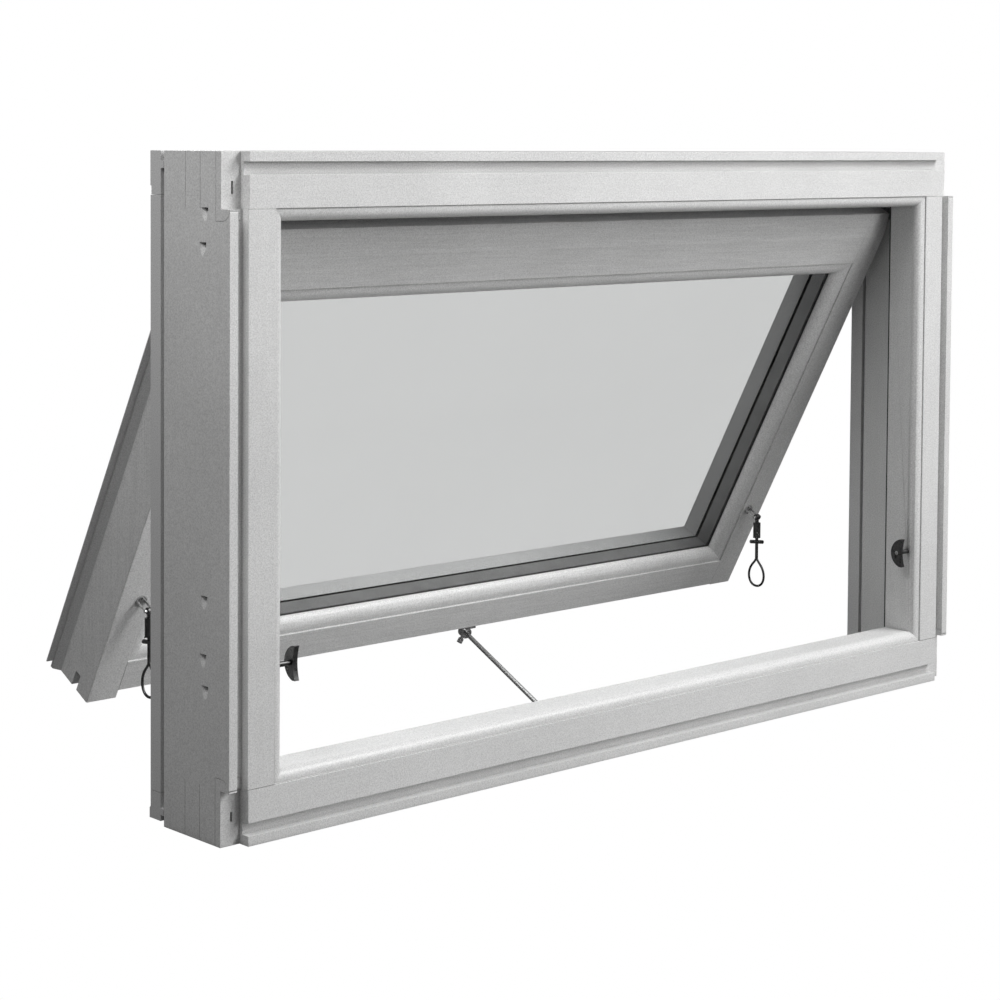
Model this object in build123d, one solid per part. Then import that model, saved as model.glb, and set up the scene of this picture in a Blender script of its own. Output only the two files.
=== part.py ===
from build123d import *
import math
import os

# A top hung awning window in painted timber with an aluminium outer skin.
# Millimetres. X runs along the window, +Y points outdoors, +Z is up.
# The origin is the middle of the flat underside of the sill.

# driving sizes of the frame
WIDTH = 980.0
HEIGHT = 580.0
DEPTH = 115.0
SKIN_DEPTH = 16.5
SHADOW_GAP = 4.0
SKIN_START = DEPTH - SKIN_DEPTH
WOOD_DEPTH = SKIN_START - SHADOW_GAP
STRIP = 8.5
GROOVE_END = 19.4
GROOVE_DEPTH = 8.5
NOTCH_END = 20.0
NOTCH_DEPTH = 12.2
FACE_END = 47.8
QUIRK = 1.5
OPENING = 58.4
BEAD_DEPTH = 10.5
STOP_DEPTH = 40.0
ARRIS = 2.0
REBATE = 30.0
SILL_FLOOR_FRONT = 22.0
SILL_FLOOR_BACK = 16.2
SILL_FLOOR_END = 14.0
WEB_NEAR = 9.0
WEB_FAR = 15.0
KEY_ONE = 19.3
KEY_TWO = 41.7
KEY_THREE = 62.4
KEY_SHORT = 37.5
KEY_LONG = 57.7
SILL_KEY = 33.0
KEY_THICK = 18.5
JOINT_LINE = 0.35
SLOT_X = 10.2
SLOT_WIDE = 2.2
SLOT_DEEP = 4.0
SLOT_TOP = 24.6
SLOT_LOW = 20.0
SLOT_LONG_TOP = 10.8
SLOT_LONG_LOW = 8.4
SKIN_KEY_TOP = 37.6
SKIN_KEY_LOW = 28.0
SKIN_KEY_SHALLOW = 1.2
SKIN_KEY_FOOT = 3.8
SEAL_REACH = 4.0
SEAL_WIDTH = 8.0
SEAL_MID = 50.0
BACK_STEP_DEPTH = 5.5
BACK_STEP = 3.0

# driving sizes of the sash, measured closed
SASH_SIDE = 44.8
SASH_FACE = 50.0
SASH_WOOD = 48.9
SASH_SKIN = 60.0
HEAD_TO_SASH = 49.5
SASH_TOP = HEIGHT - HEAD_TO_SASH
SASH_FOOT = 27.5
RAIL_UNDER = 35.5
RAIL_REBATE = 16.0
SASH_STEP = 1.5
SASH_STRIP = 3.0
STILE_FLAT = 33.0
STILE_SIGHT = 50.0
RAIL_FLAT = 42.0
RAIL_SIGHT = 57.0
TOP_BEVEL = 26.4
TOP_BEVEL_DROP = 5.2
TOP_FLAT = 59.3
TOP_SIGHT = 76.3
GASKET = 1.0
OUTER_GASKET = 1.5
GLASS_SEAT = 12.0
PANE = 4.0
CAVITY = 16.0
GLAZE_GAP = 3.0
GLAZE_TUCK = 13.5
SPACER_SHOW = 1.5
SKIN_SHOW = 4.0
SKIN_BED = 50.0
SKIN_WALL = 2.5
FLANGE = 13.8
FLANGE_HALF = 6.8
FLANGE_THICK = 1.2
FLANGE_STEP = 2.4
FLANGE_SET = 2.8
FLANGE_RISE = 7.5
DRIP_NEAR = 19.5
DRIP_FAR = 28.0
DRIP_DEEP = 16.0

# hinge
HINGE_INSET = 4.5
HINGE_DROP = 16.3
HINGE_Y = WOOD_DEPTH - HINGE_INSET
HINGE_Z = SASH_TOP - HINGE_DROP
OPEN_ANGLE = 28.0
PIN_R = 3.5
PIN_FIT = 0.06
PLATE = 3.0
PLATE_GAP = 0.5

# turn knobs on the jambs
KNOB_Y = 11.0
KNOB_Z = 146.0
KNOB_OUT = 13.2
KNOB_IN = 8.0
WING_THICK = 5.0
WING_LONG = 30.0
WING_DEEP = 13.0
SPINDLE_R = 2.5

# hanging latches on the stiles
LATCH_X = 69.0
LATCH_Z = 141.5
LATCH_OUT = 15.5
WIRE_R = 1.3
LATCH_PIN = 1.5
LATCH_LONG = 81.0
LOOP_WIDE = 24.6
SLEEVE_R = 4.2

# stay
STAY_X = 521.4
STAY_FACE = 3.0
STAY_DROP = 7.6
ROD_R = 2.3
BARREL_R = 6.2
KEEPER_PIN = 3.0
STAY_HOOK_X = 447.0
STAY_HOOK_Y = 84.0
STAY_HOOK_Z = 30.0

CENTRE_X = WIDTH / 2
CENTRE_Y = WOOD_DEPTH / 2


def box(x0, x1, y0, y1, z0, z1):
    solid = Box(x1 - x0, y1 - y0, z1 - z0)
    return Pos((x0 + x1) / 2, (y0 + y1) / 2, (z0 + z1) / 2) * solid


def tidy(shape):
    solids = shape.solids()
    if len(solids) == 1:
        return solids[0]
    return Compound(children=list(solids))


def largest(shape):
    # drops the slivers that the joints leave behind
    return max(shape.solids(), key=lambda solid: solid.volume)


def save(shape, name):
    moved = Pos(-CENTRE_X, -CENTRE_Y, 0) * shape
    export_step(tidy(moved), "parts/" + name + ".step")


def swung(shape):
    # from the closed place to the open one
    hinge = Axis((0, HINGE_Y, HINGE_Z), (1, 0, 0))
    return shape.rotate(hinge, OPEN_ANGLE)


def swung_point(x, y, z):
    turn = math.radians(OPEN_ANGLE)
    dy = y - HINGE_Y
    dz = z - HINGE_Z
    new_y = HINGE_Y + dy * math.cos(turn) - dz * math.sin(turn)
    new_z = HINGE_Z + dy * math.sin(turn) + dz * math.cos(turn)
    return (x, new_y, new_z)


# A member is drawn as a section: u runs from the outer edge towards the opening and
# d from the room side outwards. side says which edge of the window it lies on.
def lay(section, side, start, end, edge=0.0):
    if side == "left":
        plane = Plane(origin=(edge, 0, start), x_dir=(1, 0, 0), z_dir=(0, 0, 1))
        return extrude(plane * section, end - start)
    if side == "right":
        plane = Plane(origin=(WIDTH - edge, 0, start), x_dir=(-1, 0, 0), z_dir=(0, 0, -1))
        return extrude(plane * section, start - end)
    if side == "bottom":
        plane = Plane(origin=(start, 0, edge), x_dir=(0, 0, 1), z_dir=(-1, 0, 0))
        return extrude(plane * section, start - end)
    plane = Plane(origin=(start, 0, edge), x_dir=(0, 0, -1), z_dir=(1, 0, 0))
    return extrude(plane * section, end - start)


def line_face(points):
    return make_face(Polyline(*points, close=True))


def prism_y(points, y0, y1):
    # an outline in X and Z run through the depth
    plane = Plane(origin=(0, y0, 0), x_dir=(1, 0, 0), z_dir=(0, -1, 0))
    return extrude(plane * line_face(points), y0 - y1)


def prism_x(face, x0, x1):
    # an outline in Y and Z run along the width
    plane = Plane(origin=(x0, 0, 0), x_dir=(0, 1, 0), z_dir=(1, 0, 0))
    return extrude(plane * face, x1 - x0)


def floor_at(y):
    # the sill falls outwards from the stop to the outer skin
    share = (y - STOP_DEPTH) / (DEPTH - STOP_DEPTH)
    return SILL_FLOOR_FRONT + (SILL_FLOOR_END - SILL_FLOOR_FRONT) * share


def jamb_section():
    return line_face(
        [
            (0, 0),
            (STRIP, 0),
            (STRIP, GROOVE_DEPTH),
            (GROOVE_END, GROOVE_DEPTH),
            (GROOVE_END, 0),
            (FACE_END - 0.5, 0),
            (FACE_END, 0.5),
            (FACE_END, STOP_DEPTH),
            (REBATE, STOP_DEPTH),
            (REBATE, WOOD_DEPTH),
            (1, WOOD_DEPTH),
            (0, WOOD_DEPTH - 1),
        ]
    )


def sill_section():
    return line_face(
        [
            (0, 0),
            (STRIP, 0),
            (STRIP, GROOVE_DEPTH),
            (GROOVE_END, GROOVE_DEPTH),
            (GROOVE_END, 0),
            (FACE_END - 0.5, 0),
            (FACE_END, 0.5),
            (FACE_END, STOP_DEPTH),
            (SILL_FLOOR_FRONT, STOP_DEPTH),
            (floor_at(WOOD_DEPTH), WOOD_DEPTH),
            (BACK_STEP, WOOD_DEPTH),
            (BACK_STEP, WOOD_DEPTH - BACK_STEP_DEPTH),
            (0, WOOD_DEPTH - BACK_STEP_DEPTH),
        ]
    )


def bead_section():
    # quarter round beside the quirk, then the flat reveal with an eased arris
    radius = BEAD_DEPTH - QUIRK
    turn = OPENING - radius
    top = Line((FACE_END, QUIRK), (turn, QUIRK))
    curve = CenterArc((turn, BEAD_DEPTH), radius, 270, 90)
    reveal = Line((OPENING, BEAD_DEPTH), (OPENING, STOP_DEPTH - ARRIS))
    arris = CenterArc((OPENING - ARRIS, STOP_DEPTH - ARRIS), ARRIS, 0, 90)
    back = Line((OPENING - ARRIS, STOP_DEPTH), (FACE_END, STOP_DEPTH))
    close = Line((FACE_END, STOP_DEPTH), (FACE_END, QUIRK))
    return make_face([top, curve, reveal, arris, back, close])


def frame_mitre(side):
    # the part of the opening nearer to this side than to its neighbours
    reach = HEIGHT / 2
    if side in ("left", "right"):
        corners = [(0, 0), (reach, reach), (0, HEIGHT)]
        if side == "right":
            corners = [(WIDTH - x, z) for x, z in corners]
    else:
        corners = [(0, 0), (reach, reach), (WIDTH - reach, reach), (WIDTH, 0)]
        if side == "top":
            corners = [(x, HEIGHT - z) for x, z in corners]
    return prism_y(corners, -1, DEPTH)


def upside(shape):
    return mirror(shape, about=Plane(origin=(0, 0, HEIGHT / 2), z_dir=(0, 0, 1)))


def mirrored(shape):
    return mirror(shape, about=Plane(origin=(CENTRE_X, 0, 0), z_dir=(1, 0, 0)))


def slit(y):
    # the open joint beside one finger, above the underside of the head
    return box(-1, REBATE, y, y + JOINT_LINE, HEIGHT - FACE_END, HEIGHT + 1)


def long_key(play=0.0):
    # tongue of the head that shows on the side face, with its rounded lower end
    low = HEIGHT - KEY_LONG
    high = HEIGHT - FACE_END + 1
    radius = high - low
    low -= play
    arc = CenterArc((radius, high), radius + play, 180, 90)
    foot = Line((radius, low), (KEY_ONE + play, low))
    back = Line((KEY_ONE + play, low), (KEY_ONE + play, high))
    top = Line((KEY_ONE + play, high), (-play, high))
    return prism_x(make_face([arc, foot, back, top]), 0, KEY_THICK + play)


def build_frame():
    head = lay(jamb_section(), "top", 0, WIDTH, HEIGHT)
    sill = lay(sill_section(), "bottom", 0, WIDTH)
    left = lay(jamb_section(), "left", 0, HEIGHT)

    # the strip and groove are left off at the four corners, each with a narrow slot
    for z0, z1, foot, long in (
        (-1, FACE_END, SLOT_LOW, SLOT_LONG_LOW),
        (HEIGHT - FACE_END, HEIGHT + 1, HEIGHT - SLOT_TOP - SLOT_LONG_TOP, SLOT_LONG_TOP),
    ):
        notch = box(-1, NOTCH_END, -1, NOTCH_DEPTH, z0, z1)
        notch += box(SLOT_X, SLOT_X + SLOT_WIDE, 0, NOTCH_DEPTH + SLOT_DEEP, foot, foot + long)
        left -= notch
        head -= notch + mirrored(notch)
        sill -= notch + mirrored(notch)

    # comb joints: two fingers of each jamb pass through the head and the sill
    fingers = box(-1, FACE_END + 1, KEY_ONE, KEY_TWO, -1, HEIGHT + 1)
    fingers += box(-1, FACE_END + 1, KEY_THREE, DEPTH, -1, HEIGHT + 1)
    held = left & fingers
    head -= held
    head -= mirrored(held)
    sill -= held
    sill -= mirrored(held)

    # tongues of the head and the sill let into the jambs
    tongue = long_key() & left
    top_key = box(0, REBATE, KEY_TWO, KEY_THREE, HEIGHT - KEY_SHORT, HEIGHT - REBATE)
    low_key = box(0, REBATE, KEY_TWO, KEY_THREE, SILL_FLOOR_BACK - 2, SILL_KEY)
    low_key = low_key & left
    head = head + tongue + mirrored(tongue) + top_key + mirrored(top_key)
    low = upside(tongue)
    sill = sill + low + mirrored(low) + low_key + mirrored(low_key)
    head = largest(head)
    sill = largest(sill)
    left -= head + sill

    # a hair line is left open along the joints
    slits = slit(KEY_ONE) + slit(KEY_TWO - JOINT_LINE) + slit(KEY_THREE)
    wide_key = long_key(JOINT_LINE)
    left = largest(left - slits - upside(slits) - wide_key - upside(wide_key))

    bead = bead_section()
    head += lay(bead, "top", 0, WIDTH, HEIGHT) & frame_mitre("top")
    sill += lay(bead, "bottom", 0, WIDTH) & frame_mitre("bottom")
    left += lay(bead, "left", 0, HEIGHT) & frame_mitre("left")
    socket = x_cylinder(OPENING - KNOB_IN - 0.3, OPENING + 1, KNOB_Y, KNOB_Z, SPINDLE_R + PIN_FIT)
    left -= socket
    return head, sill, left, mirrored(left)


def skin_bar(edge_top, edge_end):
    # solid aluminium bar on a web that keeps a shadow gap to the timber
    return line_face(
        [
            (0, SKIN_START),
            (WEB_NEAR, SKIN_START),
            (WEB_NEAR, WOOD_DEPTH),
            (WEB_FAR, WOOD_DEPTH),
            (WEB_FAR, SKIN_START),
            (edge_top, SKIN_START),
            (edge_end, DEPTH - 1.5),
            (edge_end - 1.5, DEPTH),
            (1.5, DEPTH),
            (0, DEPTH - 1.5),
        ]
    )


def skin_block(z0, z1, depth):
    block = box(0, REBATE, SKIN_START, depth, z0, z1)
    rim = block.edges().filter_by(Axis.Z).group_by(Axis.Y)[-1]
    return chamfer(rim, 1.5)


def build_skins():
    bar = skin_bar(REBATE, REBATE)
    head = lay(bar, "top", 0, WIDTH, HEIGHT)
    sill_bar = skin_bar(floor_at(SKIN_START), SILL_FLOOR_END)
    sill = lay(sill_bar, "bottom", 0, WIDTH)
    high = HEIGHT - SKIN_KEY_TOP
    top_block = skin_block(high, HEIGHT - 10, DEPTH - SKIN_KEY_SHALLOW)
    low_block = skin_block(10, SKIN_KEY_LOW, DEPTH)
    head = head + top_block + mirrored(top_block)
    sill = sill + low_block + mirrored(low_block)
    # the two ends are trimmed to the blocks
    ends = box(-1, REBATE, DEPTH - SKIN_KEY_SHALLOW, DEPTH + 1, high - 1, HEIGHT + 1)
    head -= ends + mirrored(ends)
    foot = box(-1, REBATE, SKIN_START - 1, DEPTH + 1, -1, SKIN_KEY_FOOT)
    sill -= foot + mirrored(foot)
    left = lay(bar, "left", SKIN_KEY_LOW + JOINT_LINE, high - JOINT_LINE)
    return head, sill, left, mirrored(left)


def ring(u0, u1, y0, y1):
    outer = box(u0, WIDTH - u0, y0, y1, u0, HEIGHT - u0)
    return outer - box(u1, WIDTH - u1, y0 - 1, y1 + 1, u1, HEIGHT - u1)


def build_seal():
    # rubber strip with two lips standing off the stop all the way round
    near = SEAL_MID - SEAL_WIDTH / 2
    far = SEAL_MID + SEAL_WIDTH / 2
    top = STOP_DEPTH + SEAL_REACH
    return ring(near, far, STOP_DEPTH, top) - ring(near + 2.5, far - 2.5, top - 2.5, top + 1)


def sash_bead(flat, sight):
    # step and narrow strip, then a flattened quarter round down to the glass
    start = flat + SASH_STRIP
    lip = GLASS_SEAT - 1.0
    strip = Line((flat, SASH_STEP), (start, SASH_STEP))
    curve = EllipticalCenterArc((start, lip), sight - start, lip - SASH_STEP, 270, arc_size=90)
    fall = Line((sight, lip), (sight, GLASS_SEAT))
    back = Line((sight, GLASS_SEAT), (flat, GLASS_SEAT))
    close = Line((flat, GLASS_SEAT), (flat, SASH_STEP))
    return make_face([strip, curve, fall, back, close])


def sash_member(front, flat, sight):
    seat = sight - GLAZE_TUCK - GLAZE_GAP
    tail = [
        (flat - 0.5, 0),
        (flat, 0.5),
        (flat, GLASS_SEAT),
        (seat, GLASS_SEAT),
        (seat, SASH_WOOD),
        (0, SASH_WOOD),
    ]
    return line_face(front + tail)


def sash_rays():
    # at each corner: outer corner, corner of the flat bands, corner of the glass
    left = SASH_SIDE
    right = WIDTH - SASH_SIDE
    rays = {}
    for name, x, sx in (("l", left, 1), ("r", right, -1)):
        rays["t" + name] = [
            (x, SASH_TOP),
            (x + sx * STILE_FLAT, SASH_TOP - TOP_FLAT),
            (x + sx * STILE_SIGHT, SASH_TOP - TOP_SIGHT),
        ]
        rays["b" + name] = [
            (x, SASH_FOOT),
            (x + sx * STILE_FLAT, SASH_FOOT + RAIL_FLAT),
            (x + sx * STILE_SIGHT, SASH_FOOT + RAIL_SIGHT),
        ]
    return rays


def beyond(a, b, share):
    return (a[0] + (b[0] - a[0]) * share, a[1] + (b[1] - a[1]) * share)


SIDE_CORNERS = {
    "left": ("bl", "tl"),
    "right": ("br", "tr"),
    "top": ("tl", "tr"),
    "bottom": ("bl", "br"),
}


def bead_mitre(side):
    rays = sash_rays()
    first, last = SIDE_CORNERS[side]
    outline = [rays[first][1], rays[last][1]]
    for name in (last, first):
        outline.append(beyond(rays[name][1], rays[name][2], 1.6))
    return prism_y(outline, 0, DEPTH + 10)


def skin_mitre(side):
    rays = sash_rays()
    first, last = SIDE_CORNERS[side]
    outline = [rays[first][0], rays[last][0]]
    if side in ("left", "right"):
        out = -2 * FLANGE if side == "left" else 2 * FLANGE
        outline = [
            rays[first][0],
            (rays[first][0][0] + out, rays[first][0][1]),
            (rays[last][0][0] + out, rays[last][0][1]),
            rays[last][0],
        ]
    for name in (last, first):
        outline.append(beyond(rays[name][0], rays[name][2], 1.3))
    return prism_y(outline, 0, DEPTH + 10)


def build_sash():
    shift = Pos(0, SASH_FACE, 0)
    under = RAIL_UNDER - SASH_FOOT
    inner = SASH_SIDE + STILE_FLAT
    stile = sash_member([(0, 0.8), (0.8, 0)], STILE_FLAT, STILE_SIGHT)
    top_part = sash_member([(0, TOP_BEVEL_DROP), (TOP_BEVEL, 0)], TOP_FLAT, TOP_SIGHT)
    rail = [(0, RAIL_REBATE), (under, RAIL_REBATE), (under, 0.8), (under + 0.8, 0)]
    low_part = sash_member(rail, RAIL_FLAT, RAIL_SIGHT)
    left = shift * lay(stile, "left", SASH_FOOT, SASH_TOP, SASH_SIDE)
    top = shift * lay(top_part, "top", inner, WIDTH - inner, SASH_TOP)
    bottom = shift * lay(low_part, "bottom", inner, WIDTH - inner, SASH_FOOT)

    # the head of each stile carries on the slope of the top rail
    face = SASH_FACE
    slope = line_face(
        [
            (face - 1, SASH_TOP + 1),
            (face - 1, SASH_TOP - TOP_BEVEL),
            (face, SASH_TOP - TOP_BEVEL),
            (face + TOP_BEVEL_DROP, SASH_TOP),
            (face + TOP_BEVEL_DROP, SASH_TOP + 1),
        ]
    )
    left -= prism_x(slope, 0, CENTRE_X)

    # through tenons of the two rails show on the side faces
    high = box(SASH_SIDE, inner + 2, face + 18, face + 30, SASH_TOP - 48, SASH_TOP - 12)
    low = box(SASH_SIDE, inner + 2, face + 30.5, face + 42, RAIL_UNDER + 10, RAIL_UNDER + 28)
    left -= high + low
    top = top + high + mirrored(high)
    bottom = bottom + low + mirrored(low)

    # deep groove along the underside
    drip = box(0, WIDTH, face + DRIP_NEAR, face + DRIP_FAR, 0, SASH_FOOT + DRIP_DEEP)
    left -= drip
    bottom -= drip
    right = mirrored(left)
    top = top - left - right
    bottom = bottom - left - right
    # only the left stile keeps its foot on the room side
    foot_x = WIDTH - SASH_SIDE - STILE_FLAT
    right -= box(foot_x - 1, WIDTH, face - 1, face + RAIL_REBATE, SASH_FOOT - 1, RAIL_UNDER)

    top += (shift * lay(sash_bead(TOP_FLAT, TOP_SIGHT), "top", 0, WIDTH, SASH_TOP)) & bead_mitre("top")
    rail_bead = sash_bead(RAIL_FLAT, RAIL_SIGHT)
    bottom += (shift * lay(rail_bead, "bottom", 0, WIDTH, SASH_FOOT)) & bead_mitre("bottom")
    side_bead = shift * lay(sash_bead(STILE_FLAT, STILE_SIGHT), "left", 0, HEIGHT, SASH_SIDE)
    side_bead = side_bead & bead_mitre("left")
    left += side_bead
    right += mirrored(side_bead)
    return top, bottom, left, right


def skin_section(sight, wing):
    lip = sight - SKIN_SHOW
    seat = sight - GLAZE_TUCK - GLAZE_GAP
    start = GLASS_SEAT + GASKET + 2 * PANE + CAVITY + OUTER_GASKET
    points = [(0, SASH_WOOD)]
    if wing:
        outer = SASH_SKIN - FLANGE_SET
        inner = outer - FLANGE_THICK
        points += [
            (-FLANGE_HALF, inner - FLANGE_STEP),
            (-FLANGE_HALF, inner),
            (-FLANGE, inner),
            (-FLANGE, outer),
            (-FLANGE_HALF, outer),
            (-FLANGE_HALF + FLANGE_SET, SASH_SKIN),
        ]
    else:
        points += [(0, SASH_SKIN - 1.5), (1.5, SASH_SKIN)]
    points += [
        (lip - 2.0, SASH_SKIN),
        (lip, SASH_SKIN - 2.0),
        (lip, start),
        (lip - SKIN_WALL, start),
        (lip - SKIN_WALL, SKIN_BED),
        (seat, SKIN_BED),
        (seat, SASH_WOOD),
    ]
    return line_face(points)


def build_sash_skins():
    shift = Pos(0, SASH_FACE, 0)
    side = skin_section(STILE_SIGHT, True)
    left = shift * lay(side, "left", SASH_FOOT, SASH_TOP, SASH_SIDE)
    left = left & skin_mitre("left")
    top = shift * lay(skin_section(TOP_SIGHT, False), "top", 0, WIDTH, SASH_TOP)
    top = top & skin_mitre("top")
    bottom = shift * lay(skin_section(RAIL_SIGHT, False), "bottom", 0, WIDTH, SASH_FOOT)
    bottom = bottom & skin_mitre("bottom")
    # the flange stops above the foot
    flange_y = SASH_FACE + SASH_SKIN - FLANGE_SET - FLANGE_THICK
    left -= box(0, SASH_SIDE - FLANGE_HALF, flange_y, DEPTH, 0, SASH_FOOT + FLANGE_RISE)
    return top, bottom, left, mirrored(left)


def pane_box(inset, d0, d1):
    # a plate with its edges this far outside the visible glass line
    x0 = SASH_SIDE + STILE_SIGHT - inset
    z0 = SASH_FOOT + RAIL_SIGHT - inset
    z1 = SASH_TOP - TOP_SIGHT + inset
    return box(x0, WIDTH - x0, SASH_FACE + d0, SASH_FACE + d1, z0, z1)


def build_glazing():
    first = GLASS_SEAT + GASKET
    second = first + PANE + CAVITY
    last = second + PANE
    through = (0, last + 10)
    inner = pane_box(GLAZE_TUCK, first, first + PANE)
    outer = pane_box(GLAZE_TUCK, second, last)
    spacer = pane_box(GLAZE_TUCK - 1, first + PANE, second) - pane_box(SPACER_SHOW, *through)
    gasket_in = pane_box(GLAZE_TUCK, GLASS_SEAT, first) - pane_box(-1, *through)
    gasket_out = pane_box(GLAZE_TUCK, last, last + OUTER_GASKET)
    gasket_out -= pane_box(SKIN_SHOW - 0.5, *through)
    return inner, outer, spacer, gasket_in, gasket_out


def rod_along(a, b, radius):
    start = Vector(*a)
    run = Vector(*b) - start
    return extrude(Plane(origin=start, z_dir=run.normalized()) * Circle(radius), run.length)


def x_cylinder(x0, x1, y, z, radius):
    return rod_along((x0, y, z), (x1, y, z), radius)


def build_hinge():
    # plate with its pin on the jamb, arm with its eye on the stile
    x0 = REBATE
    x1 = REBATE + PLATE
    plate = box(x0, x1, HINGE_Y - 26, HINGE_Y - 5, HINGE_Z - 9, HINGE_Z + 9)
    plate += x_cylinder(x0, x1, HINGE_Y - 26, HINGE_Z, 9)
    plate += box(x0, x1, HINGE_Y - 5, HINGE_Y + 4, HINGE_Z - 9, HINGE_Z + 9)
    arm0 = SASH_SIDE - PLATE
    pin = x_cylinder(x1, SASH_SIDE - 0.3, HINGE_Y, HINGE_Z, PIN_R)
    collar = x_cylinder(x1, arm0 - PLATE_GAP, HINGE_Y, HINGE_Z, PIN_R + 2)
    fixed = plate + pin + collar
    eye = x_cylinder(arm0, SASH_SIDE, HINGE_Y, HINGE_Z, PIN_R + 4)
    arm = box(arm0, SASH_SIDE, HINGE_Y - 30, HINGE_Y, HINGE_Z - 6, HINGE_Z + 6)
    tail = box(arm0, SASH_SIDE, HINGE_Y - 34, HINGE_Y - 20, HINGE_Z - 62, HINGE_Z + 6)
    moving = eye + arm + tail
    moving -= x_cylinder(arm0 - 1, SASH_SIDE + 1, HINGE_Y, HINGE_Z, PIN_R + PIN_FIT)
    return fixed, moving


def build_knob():
    # half moon wing, its ends drawn towards the room, on a spindle that turns in the jamb
    y = KNOB_Y
    half = WING_LONG / 2
    front = y - WING_DEEP / 2 + 1
    spindle = x_cylinder(OPENING - KNOB_IN, OPENING + KNOB_OUT, y, KNOB_Z, SPINDLE_R)
    hollow = ThreePointArc(
        (front - 1.5, KNOB_Z + half), (front + 1, KNOB_Z), (front - 1.5, KNOB_Z - half)
    )
    low_tip = Line((front - 1.5, KNOB_Z - half), (front + 2, KNOB_Z - half))
    belly = ThreePointArc(
        (front + 2, KNOB_Z - half), (front + WING_DEEP, KNOB_Z), (front + 2, KNOB_Z + half)
    )
    high_tip = Line((front + 2, KNOB_Z + half), (front - 1.5, KNOB_Z + half))
    outline = make_face([hollow, low_tip, belly, high_tip])
    wing = prism_x(outline, OPENING + KNOB_OUT, OPENING + KNOB_OUT + WING_THICK)
    return spindle + wing


def build_latch():
    # staple on the stile: small round foot, two legs and a cross pin
    eye_y = SASH_FACE - LATCH_OUT
    foot = rod_along((LATCH_X, SASH_FACE - 1.5, LATCH_Z), (LATCH_X, SASH_FACE, LATCH_Z), 5.6)
    staple = foot + x_cylinder(LATCH_X - 5.4, LATCH_X + 5.4, eye_y, LATCH_Z, LATCH_PIN)
    for x in (LATCH_X - 4.2, LATCH_X + 4.2):
        staple += rod_along((x, SASH_FACE - 1, LATCH_Z), (x, eye_y, LATCH_Z), 1.1)

    # the hanging part: ring and sleeve, cross piece, neck and wire loop
    x, y, z = swung_point(LATCH_X, eye_y, LATCH_Z)
    sleeve = rod_along((x, y, z - 6.5), (x, y, z - 24.0), SLEEVE_R)
    sleeve += rod_along((x, y, z - 1.0), (x, y, z - 7.0), 2.2)
    sleeve += x_cylinder(x - 2.4, x + 2.4, y, z, 3.3)
    sleeve -= x_cylinder(x - 4, x + 4, y, z, LATCH_PIN + PIN_FIT)
    sleeve += rod_along((x, y, z - 23.0), (x, y, z - 50.0), 1.8)
    sleeve += rod_along((x, y - 9.0, z - 27.8), (x, y + 9.0, z - 29.6), 2.1)
    top = z - 46.5
    mid = z - 69.0
    low = z - LATCH_LONG + WIRE_R
    wide = LOOP_WIDE / 2 - WIRE_R
    run = Spline(
        (x, y, top),
        (x, y - 0.62 * wide, top - 9.5),
        (x, y - wide, mid),
        (x, y, low),
        tangents=[(0, -0.3, -1.0), (0, 1.0, 0)],
    )
    wire = sweep(Plane(origin=run @ 0, z_dir=run % 0) * Circle(WIRE_R), path=run)
    other = mirror(wire, about=Plane(origin=(0, y, 0), z_dir=(0, 1, 0)))
    wire = (wire + other) - rod_along((x, y, z - 40.0), (x, y, z - 50.0), 1.8)
    return swung(staple), sleeve, wire


def build_stay():
    # clamp with a thumb screw under the bottom rail, rod down to a keeper on the sill
    start = Vector(*swung_point(STAY_X, SASH_FACE + STAY_FACE, RAIL_UNDER - STAY_DROP))
    hook = Vector(STAY_HOOK_X, STAY_HOOK_Y, STAY_HOOK_Z)
    run = (hook - start).normalized()
    plate = box(
        STAY_X - 10,
        STAY_X + 10,
        SASH_FACE - 0.5,
        SASH_FACE + 14,
        RAIL_UNDER - 1.6,
        RAIL_UNDER,
    )
    rod_hole = rod_along(tuple(start - run * 9), tuple(start + run * 9), ROD_R + PIN_FIT)
    barrel = rod_along(tuple(start - run * 4), tuple(start + run * 4), BARREL_R)
    bracket = swung(plate) + barrel - rod_hole
    # the screw points down and to the left, square to the rod
    down = Vector(-0.342, 0.305, -0.886)
    down = (down - run * down.dot(run)).normalized()
    screw = rod_along(tuple(start + down * (BARREL_R - 0.6)), tuple(start + down * 9), 1.8)
    screw += rod_along(tuple(start + down * 8), tuple(start + down * 13), 2.9)
    screw -= barrel
    rod = rod_along(tuple(start - run * 7), tuple(hook), ROD_R)
    eye = rod_along((hook.X, hook.Y, hook.Z - 2.5), (hook.X, hook.Y, hook.Z + 2.5), 6.0)
    hole = rod_along((hook.X, hook.Y, hook.Z - 6), (hook.X, hook.Y, hook.Z + 6), KEEPER_PIN + PIN_FIT)
    rod = rod + eye - hole

    floor = floor_at(hook.Y)
    base = box(hook.X - 15, hook.X + 15, hook.Y - 9, hook.Y + 9, floor - 3, floor + 3.5)
    slope = line_face(
        [
            (STOP_DEPTH, 0),
            (STOP_DEPTH, SILL_FLOOR_FRONT),
            (DEPTH, SILL_FLOOR_END),
            (DEPTH, 0),
        ]
    )
    base -= prism_x(slope, 0, WIDTH)
    post = rod_along((hook.X, hook.Y, floor + 1.5), (hook.X, hook.Y, hook.Z + 5.0), KEEPER_PIN)
    seat = rod_along((hook.X, hook.Y, floor + 1.5), (hook.X, hook.Y, hook.Z - 3.2), 5.0)
    cap = rod_along((hook.X, hook.Y, hook.Z + 4.2), (hook.X, hook.Y, hook.Z + 6.5), 4.5)
    return bracket, screw, rod, base + post + seat + cap


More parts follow.
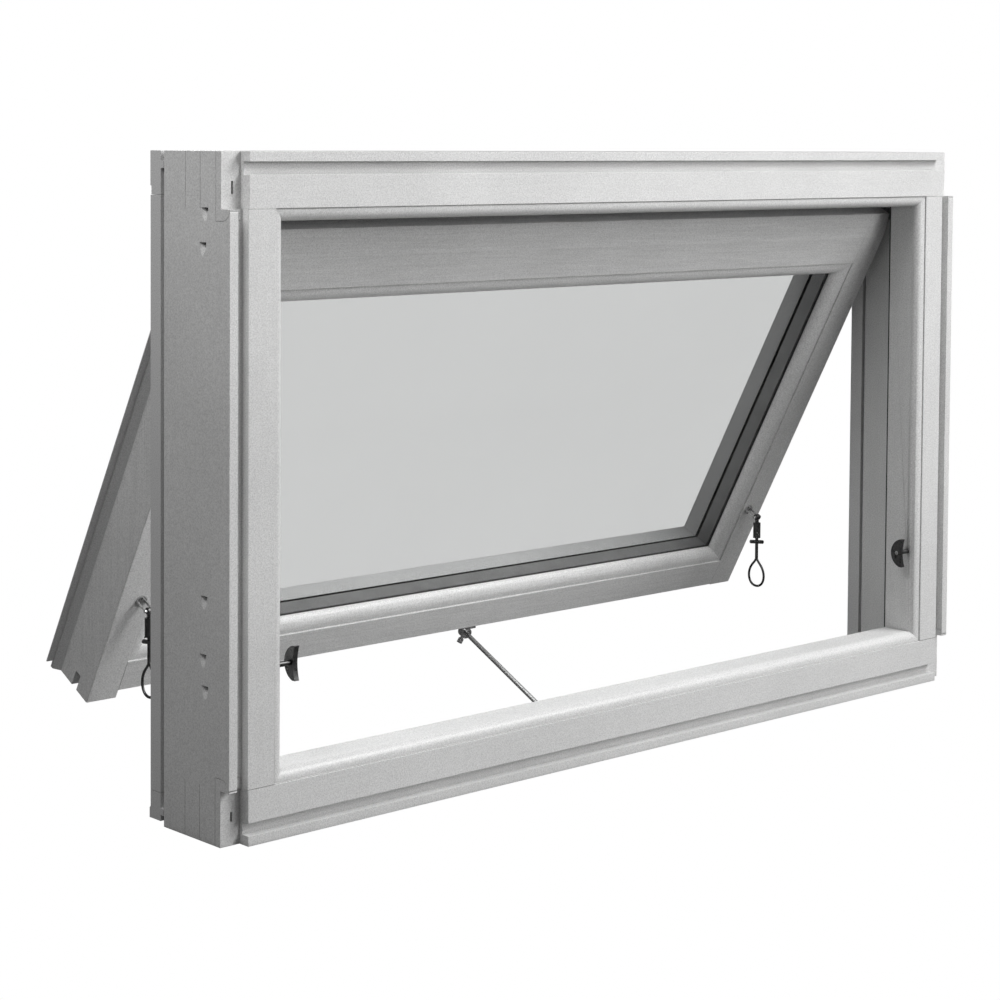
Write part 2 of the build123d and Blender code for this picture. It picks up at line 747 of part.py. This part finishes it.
def main():
    os.makedirs("parts", exist_ok=True)
    head, sill, left, right = build_frame()
    save(head, "frame_head")
    save(sill, "frame_sill")
    save(left, "frame_left_jamb")
    save(right, "frame_right_jamb")
    top, bottom, left, right = build_skins()
    save(top, "skin_head")
    save(bottom, "skin_sill")
    save(left, "skin_left_jamb")
    save(right, "skin_right_jamb")
    save(build_seal(), "frame_seal")
    top, bottom, left, right = build_sash()
    save(swung(top), "sash_top_rail")
    save(swung(bottom), "sash_bottom_rail")
    save(swung(left), "sash_left_stile")
    save(swung(right), "sash_right_stile")
    top, bottom, left, right = build_sash_skins()
    save(swung(top), "sash_skin_top")
    save(swung(bottom), "sash_skin_bottom")
    save(swung(left), "sash_skin_left")
    save(swung(right), "sash_skin_right")
    inner, outer, spacer, gasket_in, gasket_out = build_glazing()
    save(swung(inner), "glass_inner")
    save(swung(outer), "glass_outer")
    save(swung(spacer), "glass_spacer")
    save(swung(gasket_in), "gasket_inner")
    save(swung(gasket_out), "gasket_outer")
    fixed, moving = build_hinge()
    save(fixed, "hinge_pin_left")
    save(mirrored(fixed), "hinge_pin_right")
    save(swung(moving), "hinge_arm_left")
    save(swung(mirrored(moving)), "hinge_arm_right")
    knob = build_knob()
    save(knob, "knob_left")
    save(mirrored(knob), "knob_right")
    staple, sleeve, wire = build_latch()
    save(staple, "latch_staple_left")
    save(mirrored(staple), "latch_staple_right")
    save(sleeve, "latch_sleeve_left")
    save(mirrored(sleeve), "latch_sleeve_right")
    save(wire, "latch_wire_left")
    save(mirrored(wire), "latch_wire_right")
    bracket, screw, rod, keeper = build_stay()
    save(bracket, "stay_clamp")
    save(screw, "stay_thumb_screw")
    save(rod, "stay_rod")
    save(keeper, "stay_keeper")


main()
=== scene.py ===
# Top hung awning window: finishes, small fixings, studio and camera.
import math

import bmesh
import bpy
from mathutils import Matrix, Vector


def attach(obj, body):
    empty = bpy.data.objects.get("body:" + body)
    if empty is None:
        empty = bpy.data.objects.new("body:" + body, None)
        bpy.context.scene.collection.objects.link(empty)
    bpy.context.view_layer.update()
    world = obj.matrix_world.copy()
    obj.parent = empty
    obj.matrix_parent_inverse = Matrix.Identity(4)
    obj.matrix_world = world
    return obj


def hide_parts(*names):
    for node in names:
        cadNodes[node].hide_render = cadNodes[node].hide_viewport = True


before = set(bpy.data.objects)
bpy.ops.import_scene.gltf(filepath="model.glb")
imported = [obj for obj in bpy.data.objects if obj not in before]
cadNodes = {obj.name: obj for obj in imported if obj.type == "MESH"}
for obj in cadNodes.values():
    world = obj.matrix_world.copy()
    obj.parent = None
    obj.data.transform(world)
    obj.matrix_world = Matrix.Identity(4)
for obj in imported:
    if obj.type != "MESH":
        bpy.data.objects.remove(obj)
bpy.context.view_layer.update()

# width of the frame, and the origin's distance from its left and room faces, in millimetres
frameSize = {
    "width": 980.0,
    "originAcross": 490.0,
    "originDeep": 47.25,
}

# the sash stands open by this much about the hinge line
sashPlace = {
    "openAngle": 28.0,
    "hinge": (0.0, 0.04275, 0.5142),
}
tilt = math.radians(sashPlace["openAngle"])

# the parts of a noise's range that carry soft clouds and fine flecks
cloudBand = (0.3, 0.7)
fineBand = (0.25, 0.75)


def newMaterial(name):
    material = bpy.data.materials.new(name)
    material.use_nodes = True
    tree = material.node_tree
    tree.nodes.clear()
    output = tree.nodes.new("ShaderNodeOutputMaterial")
    shader = tree.nodes.new("ShaderNodeBsdfPrincipled")
    tree.links.new(shader.outputs["BSDF"], output.inputs["Surface"])
    return material, tree, shader


def objectPoints(tree, scale=(1, 1, 1), turn=(0, 0, 0)):
    coords = tree.nodes.new("ShaderNodeTexCoord")
    mapping = tree.nodes.new("ShaderNodeMapping")
    mapping.vector_type = "POINT"
    mapping.inputs["Scale"].default_value = scale
    mapping.inputs["Rotation"].default_value = turn
    tree.links.new(coords.outputs["Object"], mapping.inputs["Vector"])
    return mapping.outputs["Vector"]


def noise(tree, points, scale, detail, roughness):
    node = tree.nodes.new("ShaderNodeTexNoise")
    node.inputs["Scale"].default_value = scale
    node.inputs["Detail"].default_value = detail
    node.inputs["Roughness"].default_value = roughness
    tree.links.new(points, node.inputs["Vector"])
    return node.outputs["Fac"]


def ramp(tree, value, low, high, fromLow=0.0, fromHigh=1.0):
    node = tree.nodes.new("ShaderNodeMapRange")
    node.inputs["From Min"].default_value = fromLow
    node.inputs["From Max"].default_value = fromHigh
    node.inputs["To Min"].default_value = low
    node.inputs["To Max"].default_value = high
    tree.links.new(value, node.inputs["Value"])
    return node.outputs["Result"]


def calculate(tree, kind, first, second):
    node = tree.nodes.new("ShaderNodeMath")
    node.operation = kind
    for socket, value in zip(node.inputs, (first, second)):
        if isinstance(value, (int, float)):
            socket.default_value = value
        else:
            tree.links.new(value, socket)
    return node.outputs["Value"]


def times(tree, first, second):
    return calculate(tree, "MULTIPLY", first, second)


def grey(tree, value, tint=(1.0, 1.0, 1.0)):
    node = tree.nodes.new("ShaderNodeCombineColor")
    for socket, share in zip(node.inputs, tint):
        tree.links.new(times(tree, value, share), socket)
    return node.outputs["Color"]


def bump(tree, height, strength, distance, normal=None):
    node = tree.nodes.new("ShaderNodeBump")
    node.inputs["Strength"].default_value = strength
    node.inputs["Distance"].default_value = distance
    tree.links.new(height, node.inputs["Height"])
    if normal is not None:
        tree.links.new(normal, node.inputs["Normal"])
    return node.outputs["Normal"]


def hairLine(tree, axisValue, place, half):
    # one where the coordinate is within half of the place
    node = tree.nodes.new("ShaderNodeMath")
    node.operation = "COMPARE"
    tree.links.new(axisValue, node.inputs[0])
    node.inputs[1].default_value = place
    node.inputs[2].default_value = half
    return node.outputs["Value"]


edgeLook = {
    "samples": 4,
    "highlightEdgeBand": (0.72, 0.99),
}


def edgeHighlightMask(tree, radius):
    # one along the rounded edges, where the painted highlight goes, from how far the rounded normal leans
    # away
    rounded = tree.nodes.new("ShaderNodeBevel")
    rounded.samples = edgeLook["samples"]
    rounded.inputs["Radius"].default_value = radius
    surface = tree.nodes.new("ShaderNodeNewGeometry")
    lean = tree.nodes.new("ShaderNodeVectorMath")
    lean.operation = "DOT_PRODUCT"
    tree.links.new(rounded.outputs["Normal"], lean.inputs[0])
    tree.links.new(surface.outputs["Normal"], lean.inputs[1])
    mask = ramp(tree, lean.outputs["Value"], 1.0, 0.0, *edgeLook["highlightEdgeBand"])
    return mask, rounded.outputs["Normal"]


# each noise is given by its scale, detail and roughness
timberPaint = {
    "tone": 0.80,
    "tint": (1.0, 1.0, 0.995),
    "cloudNoise": (9.0, 4.0, 0.6),
    "mottle": 0.025,
    "roughness": 0.36,
    "smoother": 0.06,
    "rougher": 0.08,
    "grainNoise": (1.0, 4.0, 0.6),
    "grainLength": 16.0,
    "grainWidth": 520.0,
    "grainDepth": 0.00012,
    "fleckNoise": (850.0, 2.0, 0.6),
    "fleckTone": 0.22,
    "fleckDepth": 0.00010,
    "bumpStrength": 0.5,
    "edgeRadius": 0.0007,
    "paintedEdgeHighlight": 0.2,
    "highlightLeast": 0.2,
    "highlightPatchBand": (0.35, 0.65),
    "cornerReach": 0.006,
    "cornerSamples": 4,
    "cornerTone": 0.62,
    "cornerBand": (0.2, 0.85),
    "jointHalf": 0.00022,
    "jointTone": 0.45,
    "jointHigh": 0.5322,
    "jointLow": 0.0478,
    "jointFace": -0.0470,
    "jointFaceHalf": 0.0008,
    "frameStreak": 0.03,
    "sashStreak": 0.09,
}


def cornerShade(tree):
    # painted shade: darker in the inner corners, where other surfaces crowd close
    occlusion = tree.nodes.new("ShaderNodeAmbientOcclusion")
    occlusion.inputs["Distance"].default_value = timberPaint["cornerReach"]
    occlusion.samples = timberPaint["cornerSamples"]
    return ramp(tree, occlusion.outputs["AO"], timberPaint["cornerTone"], 1.0, *timberPaint["cornerBand"])


def jointShade(tree, points):
    # hair lines where the jambs butt against the head and the sill
    axes = tree.nodes.new("ShaderNodeSeparateXYZ")
    tree.links.new(points, axes.inputs["Vector"])
    half = timberPaint["jointHalf"]
    high = hairLine(tree, axes.outputs["Z"], timberPaint["jointHigh"], half)
    low = hairLine(tree, axes.outputs["Z"], timberPaint["jointLow"], half)
    face = hairLine(tree, axes.outputs["Y"], timberPaint["jointFace"], timberPaint["jointFaceHalf"])
    line = times(tree, calculate(tree, "MAXIMUM", high, low), face)
    return ramp(tree, line, 1.0, timberPaint["jointTone"])


def paintedTimber(name, along, streak, turn=0.0, jointed=False):
    # satin paint over brushed softwood, with the grain along the member
    material, tree, shader = newMaterial(name)
    stretch = [timberPaint["grainWidth"]] * 3
    stretch["xyz".index(along)] = timberPaint["grainLength"]
    grainPoints = objectPoints(tree, stretch, (turn, 0, 0))
    plainPoints = objectPoints(tree)
    grain = noise(tree, grainPoints, *timberPaint["grainNoise"])
    cloud = noise(tree, plainPoints, *timberPaint["cloudNoise"])
    fleck = noise(tree, plainPoints, *timberPaint["fleckNoise"])
    mottle = timberPaint["mottle"]
    tone = ramp(tree, cloud, timberPaint["tone"] - mottle, timberPaint["tone"] + mottle, *cloudBand)
    tone = times(tree, tone, ramp(tree, grain, 1 - streak, 1 + streak, *fineBand))
    spread = timberPaint["fleckTone"]
    tone = times(tree, tone, ramp(tree, fleck, 1 - spread, 1 + spread, *fineBand))
    # painted highlight: lighter along the rounded edges, in patches after the soft clouds
    mask, rounded = edgeHighlightMask(tree, timberPaint["edgeRadius"])
    patchyHighlight = times(tree, mask, ramp(tree, cloud, timberPaint["highlightLeast"], 1.0, *timberPaint["highlightPatchBand"]))
    tone = times(tree, tone, ramp(tree, patchyHighlight, 1.0, 1.0 + timberPaint["paintedEdgeHighlight"]))
    tone = times(tree, tone, cornerShade(tree))
    if jointed:
        tone = times(tree, tone, jointShade(tree, plainPoints))
    tree.links.new(grey(tree, tone, timberPaint["tint"]), shader.inputs["Base Color"])
    smooth = timberPaint["roughness"] - timberPaint["smoother"]
    rough = timberPaint["roughness"] + timberPaint["rougher"]
    tree.links.new(ramp(tree, cloud, smooth, rough, *cloudBand), shader.inputs["Roughness"])
    strength = timberPaint["bumpStrength"]
    normal = bump(tree, grain, strength, timberPaint["grainDepth"], rounded)
    normal = bump(tree, fleck, strength, timberPaint["fleckDepth"], normal)
    tree.links.new(normal, shader.inputs["Normal"])
    return material


aluminiumCoat = {
    "tone": 0.74,
    "toneSpread": 0.02,
    "cloudNoise": (7.0, 3.0, 0.5),
    "roughness": 0.42,
    "roughnessSpread": 0.05,
    "peelNoise": (900.0, 2.0, 0.5),
    "peelTone": 0.18,
    "peelDepth": 0.00007,
    "peelStrength": 0.5,
    "edgeRadius": 0.0005,
    "paintedEdgeHighlight": 0.12,
}


def coatedAluminium(name):
    # matt powder coat with a fine orange peel
    material, tree, shader = newMaterial(name)
    plainPoints = objectPoints(tree)
    cloud = noise(tree, plainPoints, *aluminiumCoat["cloudNoise"])
    peel = noise(tree, plainPoints, *aluminiumCoat["peelNoise"])
    base = aluminiumCoat["tone"]
    spread = aluminiumCoat["toneSpread"]
    tone = ramp(tree, cloud, base - spread, base + spread, *cloudBand)
    spread = aluminiumCoat["peelTone"]
    tone = times(tree, tone, ramp(tree, peel, 1 - spread, 1 + spread, *fineBand))
    # painted highlight: lighter along the rounded edges
    mask, rounded = edgeHighlightMask(tree, aluminiumCoat["edgeRadius"])
    tone = times(tree, tone, ramp(tree, mask, 1.0, 1.0 + aluminiumCoat["paintedEdgeHighlight"]))
    tree.links.new(grey(tree, tone), shader.inputs["Base Color"])
    rough = aluminiumCoat["roughness"]
    spread = aluminiumCoat["roughnessSpread"]
    tree.links.new(ramp(tree, cloud, rough - spread, rough + spread, *cloudBand), shader.inputs["Roughness"])
    normal = bump(tree, peel, aluminiumCoat["peelStrength"], aluminiumCoat["peelDepth"], rounded)
    tree.links.new(normal, shader.inputs["Normal"])
    return material


paneGlass = {
    "nodes": ("glass_inner", "glass_outer"),
    "tone": 0.773,
    "toneSpread": 0.004,
    "tint": (0.995, 1.0, 0.998),
    "cloudNoise": (5.0, 4.0, 0.6),
    "filmRoughness": 0.002,
    "ior": 1.06,
}


def clearGlass(name):
    # float glass with a faint film of dust
    material, tree, shader = newMaterial(name)
    plainPoints = objectPoints(tree)
    cloud = noise(tree, plainPoints, *paneGlass["cloudNoise"])
    low = paneGlass["tone"] - paneGlass["toneSpread"]
    high = paneGlass["tone"] + paneGlass["toneSpread"]
    tone = ramp(tree, cloud, low, high, *cloudBand)
    tree.links.new(grey(tree, tone, paneGlass["tint"]), shader.inputs["Base Color"])
    film = ramp(tree, cloud, 0.0, paneGlass["filmRoughness"], *cloudBand)
    tree.links.new(film, shader.inputs["Roughness"])
    shader.inputs["IOR"].default_value = paneGlass["ior"]
    shader.inputs["Transmission Weight"].default_value = 1.0
    return material


rubberLook = {
    "sealTone": 0.02,
    "spacerTone": 0.13,
    "darker": 0.9,
    "lighter": 1.2,
    "roughness": (0.54, 0.62),
    "dustNoise": (60.0, 4.0, 0.6),
    "fineNoise": (1800.0, 2.0, 0.5),
    "fineStrength": 0.4,
    "fineDepth": 0.00006,
}


def darkRubber(name, tone):
    # matt black with a thin even dust
    material, tree, shader = newMaterial(name)
    plainPoints = objectPoints(tree)
    dust = noise(tree, plainPoints, *rubberLook["dustNoise"])
    fine = noise(tree, plainPoints, *rubberLook["fineNoise"])
    dusty = ramp(tree, dust, tone * rubberLook["darker"], tone * rubberLook["lighter"], *cloudBand)
    tree.links.new(grey(tree, dusty), shader.inputs["Base Color"])
    tree.links.new(ramp(tree, dust, *rubberLook["roughness"], *cloudBand), shader.inputs["Roughness"])
    normal = bump(tree, fine, rubberLook["fineStrength"], rubberLook["fineDepth"])
    tree.links.new(normal, shader.inputs["Normal"])
    return material


steelLook = {
    "brightTone": 0.55,
    "brightRoughness": 0.28,
    "darkTone": 0.11,
    "darkRoughness": 0.30,
    "darker": 0.75,
    "lighter": 1.2,
    "smoother": 0.08,
    "rougher": 0.12,
    "markNoise": (300.0, 4.0, 0.65),
    "fineNoise": (3500.0, 2.0, 0.5),
    "fineStrength": 0.3,
    "fineDepth": 0.00003,
}


def platedSteel(name, tone, roughness):
    # drawn and plated steel with a fine tooth and handling marks
    material, tree, shader = newMaterial(name)
    plainPoints = objectPoints(tree)
    mark = noise(tree, plainPoints, *steelLook["markNoise"])
    fine = noise(tree, plainPoints, *steelLook["fineNoise"])
    marked = ramp(tree, mark, tone * steelLook["darker"], tone * steelLook["lighter"], *cloudBand)
    tree.links.new(grey(tree, marked), shader.inputs["Base Color"])
    smooth = roughness - steelLook["smoother"]
    rough = roughness + steelLook["rougher"]
    tree.links.new(ramp(tree, mark, smooth, rough, *cloudBand), shader.inputs["Roughness"])
    shader.inputs["Metallic"].default_value = 1.0
    normal = bump(tree, fine, steelLook["fineStrength"], steelLook["fineDepth"])
    tree.links.new(normal, shader.inputs["Normal"])
    return material


frameStreak = timberPaint["frameStreak"]
sashStreak = timberPaint["sashStreak"]
finishes = {
    "frameAcross": paintedTimber("paintedTimberFrameAcross", "x", frameStreak, jointed=True),
    "frameUp": paintedTimber("paintedTimberFrameUp", "z", frameStreak, jointed=True),
    "timberAcross": paintedTimber("paintedTimberSashRail", "x", sashStreak),
    "timberSash": paintedTimber("paintedTimberSashStile", "z", sashStreak, -tilt),
    "aluminium": coatedAluminium("coatedAluminium"),
    "glass": clearGlass("clearGlass"),
    "rubber": darkRubber("blackRubber", rubberLook["sealTone"]),
    "spacer": darkRubber("darkSpacerBar", rubberLook["spacerTone"]),
    "bright": platedSteel("brightPlatedSteel", steelLook["brightTone"], steelLook["brightRoughness"]),
    "dark": platedSteel("darkPlatedSteel", steelLook["darkTone"], steelLook["darkRoughness"]),
}

# the first of these words in a node's name gives its finish, and the rest are bright steel
finishWords = (
    ("staple", "bright"),
    ("skin", "aluminium"),
    ("seal", "rubber"),
    ("gasket", "rubber"),
    ("spacer", "spacer"),
    ("glass", "glass"),
    ("jamb", "frameUp"),
    ("frame", "frameAcross"),
    ("rail", "timberAcross"),
    ("stile", "timberSash"),
    ("knob", "dark"),
    ("latch", "dark"),
)


def finishFor(node):
    for word, finish in finishWords:
        if word in node:
            return finishes[finish]
    return finishes["bright"]


for nodeName, nodeObject in cadNodes.items():
    nodeObject.data.materials.clear()
    nodeObject.data.materials.append(finishFor(nodeName))
# light goes through the panes
for paneName in paneGlass["nodes"]:
    cadNodes[paneName].visible_shadow = False
print("finishes on", len(cadNodes), "nodes")


def fromLeft(x, side):
    # mirrors a distance from the left face for the right side
    return x if side == "left" else frameSize["width"] - x


def rawPoint(x, y, z):
    # from millimetres off the left, room and underside faces to the shared frame
    return Vector((x - frameSize["originAcross"], y - frameSize["originDeep"], z)) / 1000


def swungPoint(x, y, z):
    # the same for a point that is measured with the sash shut
    hinge = Vector(sashPlace["hinge"])
    return Matrix.Rotation(tilt, 3, "X") @ (rawPoint(x, y, z) - hinge) + hinge


def turnTo(direction):
    # turns the Z axis to a direction
    return Vector((0, 0, 1)).rotation_difference(direction.normalized()).to_matrix().to_4x4()


def finishPiece(work, name, material, body):
    bmesh.ops.recalc_face_normals(work, faces=work.faces)
    mesh = bpy.data.meshes.new(name)
    work.to_mesh(mesh)
    work.free()
    mesh.materials.append(material)
    piece = bpy.data.objects.new(name, mesh)
    bpy.context.scene.collection.objects.link(piece)
    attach(piece, body)
    return piece


# each ring is a share of the radius and a height, in millimetres as all heights here,
# and the cross is drawn for a head of drawnRadius
screwHead = {
    "sides": 24,
    "rings": ((1.0, -0.4), (1.0, 0.0), (0.86, 0.35), (0.62, 0.45)),
    "drawnRadius": 2.5,
    "crossHalf": 0.30,
    "crossReach": 1.25,
    "crossTop": 0.45,
    "crossFloor": -0.28,
}


def loopEdges(work, loop):
    return [work.edges.get((loop[step - 1], loop[step])) for step in range(len(loop))]


def wallBetween(work, low, high):
    # quads between two loops with the same number of points
    for step in range(len(low)):
        after = (step + 1) % len(low)
        work.faces.new((low[step], low[after], high[after], high[step]))


def screwRings(work, radius):
    rings = []
    for share, height in screwHead["rings"]:
        ring = []
        for step in range(screwHead["sides"]):
            angle = 2 * math.pi * step / screwHead["sides"]
            x = radius * share * math.cos(angle)
            y = radius * share * math.sin(angle)
            ring.append(work.verts.new((x, y, height)))
        rings.append(ring)
    return rings


def crossOutline(radius):
    half = screwHead["crossHalf"] * radius / screwHead["drawnRadius"]
    reach = screwHead["crossReach"] * radius / screwHead["drawnRadius"]
    outline = []
    for quarter in range(4):
        turn = Matrix.Rotation(math.pi / 2 * quarter, 3, "Z")
        for x, y in ((reach, -half), (reach, half), (half, half)):
            outline.append(turn @ Vector((x, y, screwHead["crossTop"])))
    return outline


def crossScrew(name, centre, outward, radius, body):
    # countersunk raised head with a cross recess, sunk a little in its plate
    work = bmesh.new()
    rings = screwRings(work, radius)
    for low, high in zip(rings, rings[1:]):
        wallBetween(work, low, high)
    work.faces.new(rings[0][::-1])
    outline = crossOutline(radius)
    top = [work.verts.new(point) for point in outline]
    floor = [work.verts.new((point.x, point.y, screwHead["crossFloor"])) for point in outline]
    wallBetween(work, top, floor)
    work.faces.new(floor)
    bmesh.ops.bridge_loops(work, edges=loopEdges(work, rings[-1]) + loopEdges(work, top))
    bmesh.ops.scale(work, vec=(0.001, 0.001, 0.001), verts=work.verts)
    place = Matrix.Translation(centre) @ turnTo(Vector(outward))
    bmesh.ops.transform(work, matrix=place, verts=work.verts)
    finishPiece(work, name, finishes["bright"], body)


fixings = {
    "plateFace": 33.0,
    "plateScrews": ((67.5, 514.2), (76.5, 519.0), (76.5, 509.4)),
    "armFace": 41.8,
    "armScrews": ((63.0, 498.0), (63.0, 479.0), (63.0, 460.0)),
    "hingeRadius": 2.2,
    "keeperScrews": ((436.2, 84.0, 20.8), (457.8, 84.0, 20.8)),
    "keeperRadius": 2.0,
    "knobFace": (76.6, 11.0, 146.0),
    "knobRadius": 2.0,
}


def buildFixings():
    for side, inward in (("left", 1), ("right", -1)):
        label = side.capitalize()
        for count, (y, z) in enumerate(fixings["plateScrews"], 1):
            name = "hingePlateScrew%s%d" % (label, count)
            place = rawPoint(fromLeft(fixings["plateFace"], side), y, z)
            crossScrew(name, place, (inward, 0, 0), fixings["hingeRadius"], "window")
        for count, (y, z) in enumerate(fixings["armScrews"], 1):
            name = "hingeArmScrew%s%d" % (label, count)
            place = swungPoint(fromLeft(fixings["armFace"], side), y, z)
            crossScrew(name, place, (-inward, 0, 0), fixings["hingeRadius"], "window")
        x, y, z = fixings["knobFace"]
        place = rawPoint(fromLeft(x, side), y, z)
        crossScrew("knobScrew" + label, place, (inward, 0, 0), fixings["knobRadius"], side + "_knob")
    for count, place in enumerate(fixings["keeperScrews"], 1):
        crossScrew("keeperScrew%d" % count, rawPoint(*place), (0, 0, 1), fixings["keeperRadius"], "window")


buildFixings()
print("screws in place")


# slanting pockets for the fixing screws in the outer face of each jamb, in millimetres,
# where each drill's axis runs from the first to the second share of its length
pockets = {
    "places": ((34.6, 533.5), (37.4, 504.5), (35.4, 208.4), (36.8, 159.2), (33.9, 132.7)),
    "radius": 4.8,
    "deep": 3.8,
    "long": 11.0,
    "ends": (-0.6, 1.0),
    "sides": 32,
    "screwRadius": 1.5,
    "screwLong": 1.6,
    "screwInset": 3.4,
    "screwTip": 1.5,
}


def slantedCylinder(work, radius, low, high):
    # closed cylinder from one point to another
    run = high - low
    bmesh.ops.create_cone(
        work,
        cap_ends=True,
        segments=pockets["sides"],
        radius1=radius,
        radius2=radius,
        depth=run.length,
        matrix=Matrix.Translation((low + high) / 2) @ turnTo(run),
    )


def pocketLine(side, y, z):
    # foot and head of the drill's axis, with the foot outside the face
    points = []
    for along in pockets["ends"]:
        x = fromLeft(pockets["deep"] * along - pockets["radius"], side)
        points.append(rawPoint(x, y, z - pockets["long"] * (1 - along)))
    return points


def pocketShapes(side):
    # the drills that cut the pockets, and the ends of the screws in them
    drills = bmesh.new()
    screws = bmesh.new()
    inset = pockets["screwInset"] / 1000
    inward = Vector((inset if side == "left" else -inset, 0, 0))
    for y, z in pockets["places"]:
        foot, head = pocketLine(side, y, z)
        slantedCylinder(drills, pockets["radius"] / 1000, foot, head)
        along = (head - foot).normalized()
        start = head + inward - along * pockets["screwLong"] / 1000
        end = head + inward + along * (pockets["screwTip"] / 1000)
        slantedCylinder(screws, pockets["screwRadius"] / 1000, start, end)
    return drills, screws


def drillJamb(side):
    source = cadNodes["frame_%s_jamb" % side]
    drills, screws = pocketShapes(side)
    cutterMesh = bpy.data.meshes.new("pocketCutter")
    drills.to_mesh(cutterMesh)
    drills.free()
    cutter = bpy.data.objects.new("pocketCutter", cutterMesh)
    drilled = bpy.data.objects.new("jambDrilled" + side.capitalize(), source.data.copy())
    for item in (cutter, drilled):
        bpy.context.scene.collection.objects.link(item)
    cut = drilled.modifiers.new("pockets", "BOOLEAN")
    cut.operation = "DIFFERENCE"
    cut.solver = "EXACT"
    cut.object = cutter
    bpy.context.view_layer.update()
    shaped = drilled.evaluated_get(bpy.context.evaluated_depsgraph_get())
    result = bpy.data.meshes.new_from_object(shaped)
    drilled.modifiers.clear()
    drilled.data = result
    bpy.data.objects.remove(cutter)
    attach(drilled, "window")
    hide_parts("frame_%s_jamb" % side)
    finishPiece(screws, "jambScrews" + side.capitalize(), finishes["dark"], "window")


for jambSide in ("left", "right"):
    drillJamb(jambSide)
print("jambs drilled")


def seenDirectly(tree):
    path = tree.nodes.new("ShaderNodeLightPath")
    return calculate(tree, "MAXIMUM", path.outputs["Is Camera Ray"], path.outputs["Is Transmission Ray"])


floorLook = {
    "size": 30.0,
    "drop": 0.0005,
    "bounce": 0.14,
    "bounceSpread": 0.01,
    "cloudNoise": (2.0, 2.0, 0.5),
    "roughness": 0.9,
}


def buildFloor():
    mesh = bpy.data.meshes.new("studioFloor")
    work = bmesh.new()
    bmesh.ops.create_grid(work, x_segments=1, y_segments=1, size=floorLook["size"])
    bmesh.ops.translate(work, vec=(0, 0, -floorLook["drop"]), verts=work.verts)
    work.to_mesh(mesh)
    work.free()
    floor = bpy.data.objects.new("studioFloor", mesh)
    bpy.context.scene.collection.objects.link(floor)
    material, tree, shader = newMaterial("paleFloor")
    cloud = noise(tree, objectPoints(tree), *floorLook["cloudNoise"])
    bounce = floorLook["bounce"]
    spread = floorLook["bounceSpread"]
    tone = ramp(tree, cloud, bounce - spread, bounce + spread, *cloudBand)
    tree.links.new(grey(tree, tone), shader.inputs["Base Color"])
    shader.inputs["Roughness"].default_value = floorLook["roughness"]
    # pure white where it is seen, straight or through the panes
    white = tree.nodes.new("ShaderNodeEmission")
    mix = tree.nodes.new("ShaderNodeMixShader")
    tree.links.new(seenDirectly(tree), mix.inputs["Fac"])
    tree.links.new(shader.outputs["BSDF"], mix.inputs[1])
    tree.links.new(white.outputs["Emission"], mix.inputs[2])
    tree.links.new(mix.outputs["Shader"], tree.nodes["Material Output"].inputs["Surface"])
    mesh.materials.append(material)


# light from all round, as a share of the white that is seen behind
worldLook = {"ambient": 0.12}


def buildWorld():
    world = bpy.data.worlds.new("studioWorld")
    world.use_nodes = True
    tree = world.node_tree
    background = tree.nodes["Background"]
    background.inputs["Color"].default_value = (1, 1, 1, 1)
    strength = ramp(tree, seenDirectly(tree), worldLook["ambient"], 1.0)
    tree.links.new(strength, background.inputs["Strength"])
    bpy.context.scene.world = world


# power in watts, size in metres and spread in degrees
studioLights = {
    "keyLight": {
        "power": 67.0,
        "size": 1.5,
        "place": (1.45, -1.7, 2.2),
        "target": (0, 0, 0.25),
        "spread": 180.0,
    },
    "frontLight": {
        "power": 2.85,
        "size": 0.8,
        "place": (0.6, -2.2, 0.95),
        "target": (0.0, 0.0, 0.62),
        "spread": 75.0,
    },
    "fillLight": {
        "power": 6.4,
        "size": 0.5,
        "place": (-1.1, -0.15, 1.35),
        "target": (-0.3, 0, 0.4),
        "spread": 180.0,
    },
    "rearLight": {
        "power": 14.0,
        "size": 1.2,
        "place": (0.8, 2.6, 1.6),
        "target": (0, 0.1, 0.3),
        "spread": 180.0,
    },
}


def aim(place, target):
    back = (Vector(place) - Vector(target)).normalized()
    side = Vector((0, 0, 1)).cross(back).normalized()
    up = back.cross(side)
    turn = Matrix((side, up, back)).transposed().to_4x4()
    return Matrix.Translation(Vector(place)) @ turn


def areaLight(name, look):
    lamp = bpy.data.lights.new(name, "AREA")
    lamp.energy = look["power"]
    lamp.size = look["size"]
    lamp.spread = math.radians(look["spread"])
    holder = bpy.data.objects.new(name, lamp)
    holder.matrix_world = aim(look["place"], look["target"])
    bpy.context.scene.collection.objects.link(holder)


buildFloor()
buildWorld()
for lightName, lightLook in studioLights.items():
    areaLight(lightName, lightLook)
bpy.context.scene.view_settings.view_transform = "Standard"
print("studio ready")


photoView = {
    "place": (-1.6415, -1.60635, 0.5898),
    "yaw": 41.769,
    "pitch": 2.665,
    "roll": 0.337,
    "lens": 84.931,
    "sensor": 36.0,
    "shift": (0.0507, -0.2497),
    "clipEnd": 100.0,
}


def buildCamera():
    yaw = math.radians(photoView["yaw"])
    pitch = math.radians(photoView["pitch"])
    roll = math.radians(photoView["roll"])
    level = math.cos(pitch)
    ahead = Vector((math.sin(yaw) * level, math.cos(yaw) * level, -math.sin(pitch)))
    right = Vector((math.cos(yaw), -math.sin(yaw), 0))
    up = right.cross(ahead)
    across = right * math.cos(roll) + up * math.sin(roll)
    above = up * math.cos(roll) - right * math.sin(roll)
    turn = Matrix((across, above, -ahead)).transposed().to_4x4()
    lens = bpy.data.cameras.new("photoCamera")
    lens.lens = photoView["lens"]
    lens.sensor_width = photoView["sensor"]
    lens.shift_x, lens.shift_y = photoView["shift"]
    lens.clip_end = photoView["clipEnd"]
    holder = bpy.data.objects.new("photoCamera", lens)
    holder.matrix_world = Matrix.Translation(Vector(photoView["place"])) @ turn
    bpy.context.scene.collection.objects.link(holder)
    bpy.context.scene.camera = holder


buildCamera()
print("camera ready")
